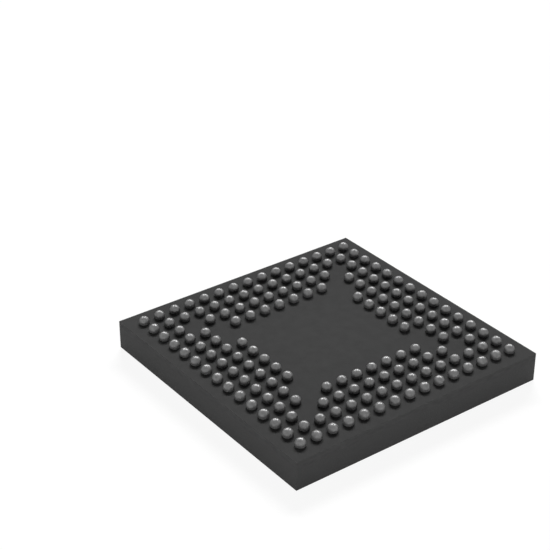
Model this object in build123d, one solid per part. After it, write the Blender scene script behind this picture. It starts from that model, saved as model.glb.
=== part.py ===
from build123d import *
import math
import os

# Programmable logic chip in a moulded ball grid array package with 164 solder balls.
# It lies on its marking face as the photograph shows it: Z = 0 is that face, +Z points out of the
# balls, and the origin is at the middle of the marking face. All lengths are in millimetres.

# Ball field: balls on a square grid, in full rings from the outside in, then short runs inside them.
BALL_SPACING = 0.5
GRID_LINES = 15
FULL_RINGS = 3
COLUMN_RUN_COUNT = 7
ROW_RUN_COUNT = 5

# Solder ball: a sphere melted flat onto the board, drawn in flat facets because there are so many.
BALL_DIAMETER = 0.30
BALL_FLAT_DEPTH = 0.09
BALL_SIDES = 12
BALL_SHOULDER_ANGLE = 45.0

# Body: the board with a block of mould compound on its die side, sawn off flush on all four sides.
EDGE_MARGIN = 0.5
MOULD_THICKNESS = 0.60
CORE_THICKNESS = 0.19
MASK_THICKNESS = 0.025

# Die, glued to the board and sealed in the mould compound.
DIE_SIDE = 4.2
DIE_THICKNESS = 0.25
GLUE_THICKNESS = 0.03

# Worked out from the sizes above.
BODY_SIDE = (GRID_LINES - 1) * BALL_SPACING + 2 * EDGE_MARGIN
CORE_BOTTOM = MOULD_THICKNESS + MASK_THICKNESS
CORE_TOP = CORE_BOTTOM + CORE_THICKNESS
BODY_TOP = CORE_TOP + MASK_THICKNESS
GLUE_BOTTOM = MOULD_THICKNESS - GLUE_THICKNESS
DIE_BOTTOM = GLUE_BOTTOM - DIE_THICKNESS

# Letters for the rows of balls, in the order the trade uses, which skips those that look like numbers.
ROW_LETTERS = "abcdefghjklmnprtuvwy"


def square_block(side, bottom, top):
    """A square block between two heights, centred on the Z axis."""
    return extrude(Pos(0, 0, bottom) * Rectangle(side, side), top - bottom)


def silicon_die():
    """The die, with its circuit side down towards the marking face."""
    return square_block(DIE_SIDE, DIE_BOTTOM, GLUE_BOTTOM)


def die_attach_film():
    """The film of glue between the die's back and the board, sawn with the die to its size."""
    return square_block(DIE_SIDE, GLUE_BOTTOM, MOULD_THICKNESS)


def mould_cap():
    """The block of mould compound, which has flowed round the die and its film."""
    return square_block(BODY_SIDE, 0, MOULD_THICKNESS) - silicon_die() - die_attach_film()


def board_core():
    """The glass and resin core of the board."""
    return square_block(BODY_SIDE, CORE_BOTTOM, CORE_TOP)


def solder_mask(bottom):
    """One coat of solder mask, over one side of the board."""
    return square_block(BODY_SIDE, bottom, bottom + MASK_THICKNESS)


def solder_ball():
    """One ball on the Z axis: a flat seat, a widest ring, a shoulder ring and a crown, on one sphere."""
    radius = BALL_DIAMETER / 2
    centre_height = BODY_TOP + radius - BALL_FLAT_DEPTH
    seat_angle = -math.asin(1 - BALL_FLAT_DEPTH / radius)
    widest_angle = 0.0
    shoulder_angle = math.radians(BALL_SHOULDER_ANGLE)
    crown = Vector(0, 0, centre_height + radius)
    corners = [crown]
    for ring_angle in (seat_angle, widest_angle, shoulder_angle):
        for side in range(BALL_SIDES):
            corner = Vector(radius, 0, 0).rotate(Axis.Y, -math.degrees(ring_angle))
            corner = corner.rotate(Axis.Z, 360 * side / BALL_SIDES)
            corners.append(corner + Vector(0, 0, centre_height))
    return ConvexPolyhedron(corners)


def has_ball(column, row):
    """Whether the grid has a ball there: no corner in the last full ring, a short run in the next."""
    last = GRID_LINES - 1
    ring = min(column, row, last - column, last - row)
    on_column_side = ring in (column, last - column)
    on_row_side = ring in (row, last - row)
    if ring < FULL_RINGS - 1:
        return True
    if ring == FULL_RINGS - 1:
        return not (on_column_side and on_row_side)
    if ring > FULL_RINGS:
        return False
    if on_column_side:
        return abs(row - last / 2) < COLUMN_RUN_COUNT / 2
    return abs(column - last / 2) < ROW_RUN_COUNT / 2


def ball_row(row):
    """The balls of one lettered row, which runs along X."""
    middle = (GRID_LINES - 1) / 2
    y = (row - middle) * BALL_SPACING
    ball = solder_ball()
    columns = [column for column in range(GRID_LINES) if has_ball(column, row)]
    return [Pos((column - middle) * BALL_SPACING, y, 0) * ball for column in columns]


def save(node, *pieces):
    """Writes the solids of one node to its own file."""
    solids = [solid for piece in pieces for solid in piece.solids()]
    export_step(Compound(solids), f"parts/{node}.step")


os.makedirs("parts", exist_ok=True)
save("mould_cap", mould_cap())
save("silicon_die", silicon_die())
save("die_attach_film", die_attach_film())
save("die_side_solder_mask", solder_mask(MOULD_THICKNESS))
save("board_core", board_core())
save("ball_side_solder_mask", solder_mask(CORE_TOP))
for row in range(GRID_LINES):
    save(f"solder_balls_row_{ROW_LETTERS[row]}", *ball_row(row))
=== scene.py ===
import math
import bmesh
import bpy
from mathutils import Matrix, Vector


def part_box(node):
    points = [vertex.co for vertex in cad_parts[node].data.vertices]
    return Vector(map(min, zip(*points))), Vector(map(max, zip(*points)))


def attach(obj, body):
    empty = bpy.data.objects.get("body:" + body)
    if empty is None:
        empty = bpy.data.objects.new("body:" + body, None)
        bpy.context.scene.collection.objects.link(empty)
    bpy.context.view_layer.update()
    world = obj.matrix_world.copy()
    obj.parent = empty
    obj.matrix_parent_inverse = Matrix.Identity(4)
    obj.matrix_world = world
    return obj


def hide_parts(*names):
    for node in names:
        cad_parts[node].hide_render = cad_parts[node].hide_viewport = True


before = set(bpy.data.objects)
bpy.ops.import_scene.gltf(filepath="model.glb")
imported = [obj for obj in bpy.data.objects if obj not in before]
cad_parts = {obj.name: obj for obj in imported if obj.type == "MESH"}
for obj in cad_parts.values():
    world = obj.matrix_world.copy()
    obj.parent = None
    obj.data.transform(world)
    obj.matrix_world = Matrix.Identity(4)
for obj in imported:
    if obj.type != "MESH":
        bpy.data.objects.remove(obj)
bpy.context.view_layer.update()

# The camera and the lamps are placed in millimetres, in the frame of the chip, and turned to metres here.
MM = 0.001

# Camera, from a fit to the corners of the body in the photograph.
CAMERA_PLACE = (27.11, -21.91, 22.86)
CAMERA_AIM = (-3.473, 0.943, 0.84)
CAMERA_LENS_MM = 99.93
CAMERA_SENSOR_MM = 36.0
CAMERA_NEAREST = 1.0
CAMERA_FARTHEST = 2000.0

# Lamps, all soft boxes far off. Azimuth is where the light comes from, turned from +X towards +Y, and
# elevation is above the floor. Width and height are how many degrees of the chip's surroundings the box
# fills. The key lamp stands behind the chip and throws the balls' shadows. A wider strip in the same
# direction shows in the gloss alone. Three low lamps, which show in no gloss, fill the chip's sides.
LAMP_DISTANCE = 4000.0
KEY_AZIMUTH = 138.0
KEY_ELEVATION = 39.0
KEY_STRENGTH = 4.1
KEY_WIDTH = 26.0
KEY_HEIGHT = 8.0
STRIP_ELEVATION = 41.5
STRIP_STRENGTH = 4.8
STRIP_WIDTH = 64.0
STRIP_HEIGHT = 10.0
FILL_ELEVATION = 5.0
FILL_WIDTH = 70.0
FILL_HEIGHT = 12.0
FRONT_AZIMUTH = -42.0
FRONT_STRENGTH = 2.5
LEFT_AZIMUTH = 216.0
LEFT_STRENGTH = 1.6
RIGHT_AZIMUTH = 60.0
RIGHT_STRENGTH = 1.5
AMBIENT_STRENGTH = 0.03

# Floor: what the camera sees is mostly plain white, with enough of the lit floor in it to keep the shadow.
FLOOR_SIDE = 1000.0
FLOOR_DROP = 0.005
PAPER_WHITE = "#ECECEC"
PURE_WHITE = "#FFFFFF"
PURE_BLACK = "#000000"
FLOOR_GLOW = 0.91
FLOOR_SHADOW_SHARE = 0.13

# Solder balls: how finely their round is divided, and how closely their crowns and places are read.
BALL_SEGMENTS = 40
BALL_RINGS = 18
CROWN_TOLERANCE = 0.001 * MM
MICROMETRE_DIGITS = 6

# Surface patterns, in millimetres. The silica grains are as large as the coarsest in such a compound. The
# flow clouds, orange peel, glass bundles, dendrites, solder patches and film lumps have about their usual
# size. The saw's lines, the mask's tooth, the glass fibres and the grinding lines are too fine to show at
# theirs, so they are drawn as coarse as they need to show. The reliefs are matched.
FILLER_GRAIN = 0.05
FILLER_RELIEF = 0.005
MOULD_CLOUD = 1.6
SAW_LINE = 0.035
SAW_LINE_RELIEF = 0.005
SAW_LINE_STRENGTH = 0.8
MASK_PEEL = 0.30
MASK_PEEL_RELIEF = 0.005
MASK_TOOTH = 0.045
MASK_TOOTH_RELIEF = 0.003
GLASS_BUNDLE = 0.09
GLASS_FIBRE = GLASS_BUNDLE / 3
GLASS_RELIEF = 0.004
DENDRITE = 0.035
DENDRITE_RELIEF = 0.0035
SOLDER_CLOUD = 0.08
GRIND_LINE = 0.02
GRIND_RELIEF = 0.0004
FILM_LUMP = 0.2
FILM_RELIEF = 0.004

# Shares of one: how high a line or a bundle is for its length, and how far a sawn side's normal may rise.
LINE_FLATNESS = 0.02
BUNDLE_FLATNESS = 0.35
SIDE_RISE = 0.5


def linear(hex_colour):
    """An sRGB hex colour as the linear red, green, blue and alpha that a shader socket takes."""
    channels = [int(hex_colour[place:place + 2], 16) / 255 for place in (1, 3, 5)]
    return [c / 12.92 if c <= 0.04045 else ((c + 0.055) / 1.055) ** 2.4 for c in channels] + [1.0]


def add(tree, kind, links=None, **settings):
    """Adds a node with its settings, its constants by socket and what feeds its other sockets."""
    node = tree.nodes.new(kind)
    for name, value in settings.items():
        setattr(node, name, value)
    for socket, value in (links or {}).items():
        if isinstance(value, bpy.types.NodeSocket):
            tree.links.new(value, node.inputs[socket])
        else:
            node.inputs[socket].default_value = value
    return node


def new_material(name):
    """An empty node material, and its tree."""
    material = bpy.data.materials.new(name)
    material.use_nodes = True
    material.node_tree.nodes.clear()
    return material, material.node_tree


def millimetres(tree, stretch=(1, 1, 1)):
    """Object coordinates in millimetres, squeezed along each axis by stretch."""
    place = add(tree, "ShaderNodeTexCoord")
    scale = [part / MM for part in stretch]
    scaled = add(tree, "ShaderNodeVectorMath", {0: place.outputs["Object"], 1: scale}, operation="MULTIPLY")
    return scaled.outputs["Vector"]


def on_sawn_side(tree):
    """1 on the four sides, where the dicing saw cut, and 0 on the flat faces."""
    geometry = add(tree, "ShaderNodeNewGeometry")
    normal = add(tree, "ShaderNodeSeparateXYZ", {0: geometry.outputs["Normal"]})
    upright = add(tree, "ShaderNodeMath", {0: normal.outputs["Z"]}, operation="ABSOLUTE")
    side = add(tree, "ShaderNodeMath", {0: upright.outputs[0], 1: SIDE_RISE}, operation="LESS_THAN")
    return side.outputs[0]


def seen_directly(tree):
    """1 for what the camera sees, in a reflection or through glass too, and 0 for what lights the chip."""
    ray = add(tree, "ShaderNodeLightPath")
    seen = add(tree, "ShaderNodeMath", {
        0: ray.outputs["Is Camera Ray"], 1: ray.outputs["Is Glossy Ray"]}, operation="MAXIMUM")
    seen_at_all = add(tree, "ShaderNodeMath", {
        0: seen.outputs[0], 1: ray.outputs["Is Transmission Ray"]}, operation="MAXIMUM")
    return seen_at_all.outputs[0]


def mould_compound():
    """Epoxy mould compound, transfer moulded: black resin packed with fine silica, so it is dull, even and
    faintly grainy. Its four sides were cut by a dicing saw, which leaves fine lines along them."""
    material, tree = new_material("moulded_epoxy_compound")
    place = millimetres(tree)
    grain = add(tree, "ShaderNodeTexNoise", {"Vector": place, "Scale": 1 / FILLER_GRAIN, "Detail": 3.0})
    cloud = add(tree, "ShaderNodeTexNoise", {"Vector": place, "Scale": 1 / MOULD_CLOUD, "Detail": 2.0})
    along_saw = millimetres(tree, (LINE_FLATNESS, LINE_FLATNESS, 1))
    saw = add(tree, "ShaderNodeTexNoise", {"Vector": along_saw, "Scale": 1 / SAW_LINE, "Detail": 2.0})
    speckle = add(tree, "ShaderNodeMixRGB", {
        "Fac": grain.outputs["Fac"], "Color1": linear("#343434"), "Color2": linear("#4A4A4A")})
    colour = add(tree, "ShaderNodeMixRGB", {
        "Fac": cloud.outputs["Fac"], "Color1": speckle.outputs["Color"], "Color2": linear("#404040")})
    roughness = add(tree, "ShaderNodeMapRange", {
        "Value": grain.outputs["Fac"], "To Min": 0.72, "To Max": 0.88})
    saw_strength = add(tree, "ShaderNodeMath", {
        0: on_sawn_side(tree), 1: SAW_LINE_STRENGTH}, operation="MULTIPLY")
    grain_bump = add(tree, "ShaderNodeBump", {
        "Strength": 0.6, "Distance": FILLER_RELIEF * MM, "Height": grain.outputs["Fac"]})
    saw_bump = add(tree, "ShaderNodeBump", {
        "Strength": saw_strength.outputs[0], "Distance": SAW_LINE_RELIEF * MM, "Height": saw.outputs["Fac"],
        "Normal": grain_bump.outputs["Normal"]})
    shader = add(tree, "ShaderNodeBsdfPrincipled", {
        "Base Color": colour.outputs["Color"], "Roughness": roughness.outputs["Result"], "IOR": 1.55,
        "Specular IOR Level": 0.05, "Normal": saw_bump.outputs["Normal"]})
    add(tree, "ShaderNodeOutputMaterial", {"Surface": shader.outputs["BSDF"]})
    return material


def solder_mask():
    """Solder mask, a black photo-cured ink coated on the board: matt, with a soft orange peel and a fine
    tooth. Its sawn edge is a little paler, the same dull grey as the resin beside it."""
    material, tree = new_material("matt_solder_mask")
    place = millimetres(tree)
    peel = add(tree, "ShaderNodeTexNoise", {"Vector": place, "Scale": 1 / MASK_PEEL, "Detail": 1.0})
    tooth = add(tree, "ShaderNodeTexNoise", {"Vector": place, "Scale": 1 / MASK_TOOTH, "Detail": 3.0})
    skin = add(tree, "ShaderNodeMixRGB", {
        "Fac": peel.outputs["Fac"], "Color1": linear("#383838"), "Color2": linear("#404040")})
    colour = add(tree, "ShaderNodeMixRGB", {
        "Fac": on_sawn_side(tree), "Color1": skin.outputs["Color"], "Color2": linear("#404040")})
    roughness = add(tree, "ShaderNodeMapRange", {
        "Value": tooth.outputs["Fac"], "To Min": 0.54, "To Max": 0.64})
    peel_bump = add(tree, "ShaderNodeBump", {
        "Strength": 0.6, "Distance": MASK_PEEL_RELIEF * MM, "Height": peel.outputs["Fac"]})
    tooth_bump = add(tree, "ShaderNodeBump", {
        "Strength": 0.6, "Distance": MASK_TOOTH_RELIEF * MM, "Height": tooth.outputs["Fac"],
        "Normal": peel_bump.outputs["Normal"]})
    shader = add(tree, "ShaderNodeBsdfPrincipled", {
        "Base Color": colour.outputs["Color"], "Roughness": roughness.outputs["Result"], "IOR": 1.52,
        "Specular IOR Level": 0.02, "Normal": tooth_bump.outputs["Normal"]})
    add(tree, "ShaderNodeOutputMaterial", {"Surface": shader.outputs["BSDF"]})
    return material


def sawn_laminate():
    """Black resin and glass laminate, seen only where the dicing saw cut it: ends of the glass bundles lie
    in layers in the dull resin."""
    material, tree = new_material("sawn_glass_laminate")
    in_layers = millimetres(tree, (BUNDLE_FLATNESS, BUNDLE_FLATNESS, 1))
    bundles = add(tree, "ShaderNodeTexVoronoi", {"Vector": in_layers, "Scale": 1 / GLASS_BUNDLE})
    fibres = add(tree, "ShaderNodeTexNoise", {"Vector": in_layers, "Scale": 1 / GLASS_FIBRE, "Detail": 2.0})
    colour = add(tree, "ShaderNodeMixRGB", {
        "Fac": bundles.outputs["Distance"], "Color1": linear("#3B3B3B"), "Color2": linear("#444444")})
    roughness = add(tree, "ShaderNodeMapRange", {
        "Value": fibres.outputs["Fac"], "To Min": 0.72, "To Max": 0.9})
    bump = add(tree, "ShaderNodeBump", {
        "Strength": 0.5, "Distance": GLASS_RELIEF * MM, "Height": fibres.outputs["Fac"]})
    shader = add(tree, "ShaderNodeBsdfPrincipled", {
        "Base Color": colour.outputs["Color"], "Roughness": roughness.outputs["Result"], "IOR": 1.53,
        "Specular IOR Level": 0.05, "Normal": bump.outputs["Normal"]})
    add(tree, "ShaderNodeOutputMaterial", {"Surface": shader.outputs["BSDF"]})
    return material


def reflowed_solder():
    """Tin, silver and copper solder, melted and frozen as a ball: a satin grey metal whose skin has fine
    dendrites and soft cloudy patches. A thin oxide takes the shine off its rim, so grazing light has a dark
    tint."""
    material, tree = new_material("reflowed_tin_solder")
    place = millimetres(tree)
    dendrites = add(tree, "ShaderNodeTexVoronoi", {"Vector": place, "Scale": 1 / DENDRITE})
    cloud = add(tree, "ShaderNodeTexNoise", {"Vector": place, "Scale": 1 / SOLDER_CLOUD, "Detail": 3.0})
    colour = add(tree, "ShaderNodeMixRGB", {
        "Fac": cloud.outputs["Fac"], "Color1": linear("#5F5F5F"), "Color2": linear("#8A8A8A")})
    roughness = add(tree, "ShaderNodeMapRange", {
        "Value": cloud.outputs["Fac"], "To Min": 0.32, "To Max": 0.40})
    bump = add(tree, "ShaderNodeBump", {
        "Strength": 0.5, "Distance": DENDRITE_RELIEF * MM, "Height": dendrites.outputs["Distance"]})
    shader = add(tree, "ShaderNodeBsdfPrincipled", {
        "Base Color": colour.outputs["Color"], "Metallic": 0.62, "Roughness": roughness.outputs["Result"],
        "Specular IOR Level": 0.0, "Specular Tint": linear("#646464"), "Normal": bump.outputs["Normal"]})
    add(tree, "ShaderNodeOutputMaterial", {"Surface": shader.outputs["BSDF"]})
    return material


def ground_silicon():
    """Silicon die, thinned by grinding: a dark grey semi-metal with fine grinding lines. Sealed inside."""
    material, tree = new_material("ground_silicon")
    along_lines = millimetres(tree, (1, LINE_FLATNESS, 1))
    lines = add(tree, "ShaderNodeTexNoise", {"Vector": along_lines, "Scale": 1 / GRIND_LINE, "Detail": 2.0})
    colour = add(tree, "ShaderNodeMixRGB", {
        "Fac": lines.outputs["Fac"], "Color1": linear("#5E6067"), "Color2": linear("#6C6E76")})
    roughness = add(tree, "ShaderNodeMapRange", {
        "Value": lines.outputs["Fac"], "To Min": 0.25, "To Max": 0.4})
    bump = add(tree, "ShaderNodeBump", {
        "Strength": 0.5, "Distance": GRIND_RELIEF * MM, "Height": lines.outputs["Fac"]})
    shader = add(tree, "ShaderNodeBsdfPrincipled", {
        "Base Color": colour.outputs["Color"], "Metallic": 0.6, "Roughness": roughness.outputs["Result"],
        "Normal": bump.outputs["Normal"]})
    add(tree, "ShaderNodeOutputMaterial", {"Surface": shader.outputs["BSDF"]})
    return material


def cured_adhesive():
    """Die attach film, a cured adhesive: cream, slightly lumpy and half glossy. Sealed inside."""
    material, tree = new_material("cured_die_attach_film")
    place = millimetres(tree)
    lumps = add(tree, "ShaderNodeTexNoise", {"Vector": place, "Scale": 1 / FILM_LUMP, "Detail": 2.0})
    colour = add(tree, "ShaderNodeMixRGB", {
        "Fac": lumps.outputs["Fac"], "Color1": linear("#CFC8B4"), "Color2": linear("#DAD4C2")})
    roughness = add(tree, "ShaderNodeMapRange", {
        "Value": lumps.outputs["Fac"], "To Min": 0.4, "To Max": 0.55})
    bump = add(tree, "ShaderNodeBump", {
        "Strength": 0.4, "Distance": FILM_RELIEF * MM, "Height": lumps.outputs["Fac"]})
    shader = add(tree, "ShaderNodeBsdfPrincipled", {
        "Base Color": colour.outputs["Color"], "Roughness": roughness.outputs["Result"], "IOR": 1.5,
        "Normal": bump.outputs["Normal"]})
    add(tree, "ShaderNodeOutputMaterial", {"Surface": shader.outputs["BSDF"]})
    return material


def floor_paper():
    """Plain white floor. To the camera and to reflections it is nearly plain white with a faint shadow, and
    it lights the chip as ordinary white paper would."""
    material, tree = new_material("plain_floor")
    paper = add(tree, "ShaderNodeBsdfDiffuse", {"Color": linear(PAPER_WHITE)})
    glow = add(tree, "ShaderNodeEmission", {"Color": linear(PURE_WHITE), "Strength": FLOOR_GLOW})
    dark = add(tree, "ShaderNodeBsdfDiffuse", {"Color": linear(PURE_BLACK)})
    faint = add(tree, "ShaderNodeMixShader", {
        0: FLOOR_SHADOW_SHARE, 1: dark.outputs[0], 2: paper.outputs[0]})
    shown = add(tree, "ShaderNodeAddShader", {0: faint.outputs[0], 1: glow.outputs[0]})
    shader = add(tree, "ShaderNodeMixShader", {
        0: seen_directly(tree), 1: paper.outputs[0], 2: shown.outputs[0]})
    add(tree, "ShaderNodeOutputMaterial", {"Surface": shader.outputs[0]})
    return material


def studio_world():
    """White to the camera and to reflections, and a plain dim grey light for the rest."""
    world = bpy.data.worlds.new("studio")
    bpy.context.scene.world = world
    world.use_nodes = True
    tree = world.node_tree
    tree.nodes.clear()
    white = add(tree, "ShaderNodeBackground", {"Color": linear(PURE_WHITE), "Strength": 1.0})
    ambient = add(tree, "ShaderNodeBackground", {"Color": linear(PURE_WHITE), "Strength": AMBIENT_STRENGTH})
    shader = add(tree, "ShaderNodeMixShader", {
        0: seen_directly(tree), 1: ambient.outputs[0], 2: white.outputs[0]})
    add(tree, "ShaderNodeOutputWorld", {"Surface": shader.outputs[0]})


def lamp(name, azimuth, elevation, strength, width, height, is_gloss):
    """A soft box that looks at the chip. Its strength is the light that falls on a sheet turned to face it.
    It shows either in the gloss alone or in everything but the gloss."""
    light = bpy.data.lights.new(name, "AREA")
    light.shape = "RECTANGLE"
    distance = LAMP_DISTANCE * MM
    light.size = 2 * distance * math.tan(math.radians(width / 2))
    light.size_y = 2 * distance * math.tan(math.radians(height / 2))
    light.energy = strength * math.pi * distance ** 2
    holder = bpy.data.objects.new(name, light)
    level = math.cos(math.radians(elevation))
    towards = Vector((
        level * math.cos(math.radians(azimuth)),
        level * math.sin(math.radians(azimuth)),
        math.sin(math.radians(elevation))))
    holder.rotation_euler = towards.to_track_quat("Z", "Y").to_euler()
    holder.location = towards * distance
    holder.visible_glossy = is_gloss
    holder.visible_diffuse = not is_gloss
    bpy.context.scene.collection.objects.link(holder)


def camera():
    """A camera at the photograph's viewing angle."""
    view = bpy.data.cameras.new("camera")
    view.sensor_fit = "HORIZONTAL"
    view.sensor_width = CAMERA_SENSOR_MM
    view.lens = CAMERA_LENS_MM
    view.clip_start = CAMERA_NEAREST * MM
    view.clip_end = CAMERA_FARTHEST * MM
    holder = bpy.data.objects.new("camera", view)
    place = Vector(CAMERA_PLACE) * MM
    aim = Vector(CAMERA_AIM) * MM
    holder.location = place
    holder.rotation_euler = (place - aim).to_track_quat("Z", "Y").to_euler()
    bpy.context.scene.collection.objects.link(holder)
    bpy.context.scene.camera = holder


def floor():
    """A plain floor under the chip."""
    half = FLOOR_SIDE * MM / 2
    level = -FLOOR_DROP * MM
    mesh = bpy.data.meshes.new("floor")
    corners = [(-half, -half, level), (half, -half, level), (half, half, level), (-half, half, level)]
    mesh.from_pydata(corners, [], [(0, 1, 2, 3)])
    mesh.materials.append(floor_paper())
    sheet = bpy.data.objects.new("floor", mesh)
    bpy.context.scene.collection.objects.link(sheet)


def ball_axes(node):
    """Where the balls of a row stand, read from their crowns."""
    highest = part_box(node)[1].z
    corners = [corner.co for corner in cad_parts[node].data.vertices]
    crowns = [corner for corner in corners if highest - corner.z < CROWN_TOLERANCE]
    return sorted({(round(top.x, MICROMETRE_DIGITS), round(top.y, MICROMETRE_DIGITS)) for top in crowns})


def add_ball(mesh, x, y, seat, crown, radius):
    """Turns the arc of one ball, from its flat seat to its crown, round its own axis."""
    centre = crown - radius
    first = math.asin((seat - centre) / radius)
    rings = []
    for step in range(BALL_RINGS):
        angle = first + (math.pi / 2 - first) * step / BALL_RINGS
        ring = []
        for segment in range(BALL_SEGMENTS):
            turn = 2 * math.pi * segment / BALL_SEGMENTS
            out = radius * math.cos(angle)
            ring.append(mesh.verts.new((
                x + out * math.cos(turn), y + out * math.sin(turn), centre + radius * math.sin(angle))))
        rings.append(ring)
    mesh.faces.new(rings[0][::-1])
    top = mesh.verts.new((x, y, crown))
    for segment in range(BALL_SEGMENTS):
        after = (segment + 1) % BALL_SEGMENTS
        for lower, upper in zip(rings, rings[1:]):
            mesh.faces.new((lower[segment], lower[after], upper[after], upper[segment])).smooth = True
        mesh.faces.new((rings[-1][segment], rings[-1][after], top)).smooth = True


def ball_row(node, solder):
    """Smooth balls in place of a row of faceted ones, of the same size and on the same seats."""
    low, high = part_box(node)
    radius = (high.y - low.y) / 2
    balls = bmesh.new()
    for x, y in ball_axes(node):
        add_ball(balls, x, y, low.z, high.z, radius)
    name = node.replace("solder_balls", "reflowed_balls")
    mesh = bpy.data.meshes.new(name)
    balls.to_mesh(mesh)
    balls.free()
    mesh.materials.append(solder)
    row = bpy.data.objects.new(name, mesh)
    bpy.context.scene.collection.objects.link(row)
    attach(row, "root")
    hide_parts(node)


def dress(node, material):
    """Gives a CAD node its material."""
    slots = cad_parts[node].data.materials
    slots.clear()
    slots.append(material)


bpy.context.scene.view_settings.view_transform = "Standard"
camera()
studio_world()
lamp("key_lamp", KEY_AZIMUTH, KEY_ELEVATION, KEY_STRENGTH, KEY_WIDTH, KEY_HEIGHT, is_gloss=False)
lamp("gloss_strip", KEY_AZIMUTH, STRIP_ELEVATION, STRIP_STRENGTH, STRIP_WIDTH, STRIP_HEIGHT, is_gloss=True)
for name, azimuth, strength in (
        ("front_fill_lamp", FRONT_AZIMUTH, FRONT_STRENGTH),
        ("left_fill_lamp", LEFT_AZIMUTH, LEFT_STRENGTH),
        ("right_fill_lamp", RIGHT_AZIMUTH, RIGHT_STRENGTH)):
    lamp(name, azimuth, FILL_ELEVATION, strength, FILL_WIDTH, FILL_HEIGHT, is_gloss=False)
floor()

mask = solder_mask()
dress("mould_cap", mould_compound())
dress("die_side_solder_mask", mask)
dress("board_core", sawn_laminate())
dress("ball_side_solder_mask", mask)
dress("silicon_die", ground_silicon())
dress("die_attach_film", cured_adhesive())
solder = reflowed_solder()
for node in sorted(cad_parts):
    if node.startswith("solder_balls_row"):
        ball_row(node, solder)
